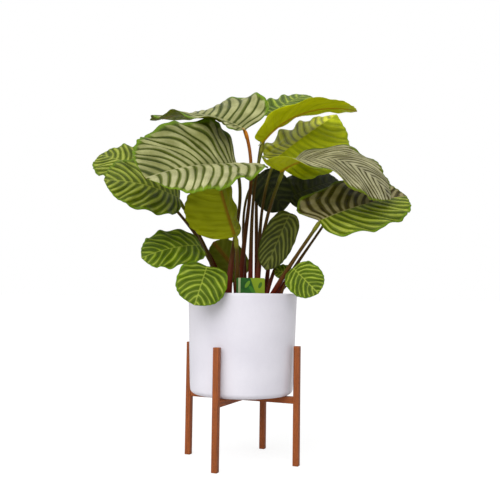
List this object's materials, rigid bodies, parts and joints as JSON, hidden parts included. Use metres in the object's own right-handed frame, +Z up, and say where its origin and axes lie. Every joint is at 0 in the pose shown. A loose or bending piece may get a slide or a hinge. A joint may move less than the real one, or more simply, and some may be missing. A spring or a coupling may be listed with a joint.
{
  "type": "potted plant",
  "caption": "Potted calathea orbifolia with large round striped leaves in a plain cylindrical ceramic pot on a low four-legged wooden stand.",
  "frame": {"origin": "on the floor under the middle of the pot and stand", "axes": "+Z up, -Y to the front, which the picture shows, +X to the right as seen from the front"},
  "size_m": [0.8605, 0.5472, 1.0223],
  "materials": {
    "leaf": "satin leaf with silvery green bands along its side veins",
    "stem": "satin stalk, maroon at the foot and green to orange under the blade",
    "potting_mix": "loose, dull and dark",
    "glaze": "satin white glaze",
    "wood": "satin lacquered reddish brown",
    "card": "satin printed plastic"
  },
  "bodies": {
    "root": {"bar_lower": "wood", "bar_upper": "wood", "blade_back_left": "leaf", "blade_back_right": "leaf", "blade_behind_stems": "leaf", "blade_far_left": "leaf", "blade_front_hanging": "leaf", "blade_front_left": "leaf", "blade_hanging_right": "leaf", "blade_inner_centre": "leaf", "blade_inner_right": "leaf", "blade_left": "leaf", "blade_low_left": "leaf", "blade_over_rim": "leaf", "blade_right_drooping": "leaf", "blade_right_low": "leaf", "blade_right_upright": "leaf", "blade_small_right": "leaf", "blade_smallest": "leaf", "blade_top_back": "leaf", "blade_top_left": "leaf", "blade_top_right": "leaf", "leg_back_left": "wood", "leg_back_right": "wood", "leg_front_left": "wood", "leg_front_right": "wood", "petiole_back_left": "stem", "petiole_back_right": "stem", "petiole_behind_stems": "stem", "petiole_far_left": "stem", "petiole_front_hanging": "stem", "petiole_front_left": "stem", "petiole_hanging_right": "stem", "petiole_inner_centre": "stem", "petiole_inner_right": "stem", "petiole_left": "stem", "petiole_low_left": "stem", "petiole_over_rim": "stem", "petiole_right_drooping": "stem", "petiole_right_low": "stem", "petiole_right_upright": "stem", "petiole_small_right": "stem", "petiole_smallest": "stem", "petiole_top_back": "stem", "petiole_top_left": "stem", "petiole_top_right": "stem", "plant_label": "card", "pot": "glaze", "soil": "potting_mix"}
  },
  "joints": []
}
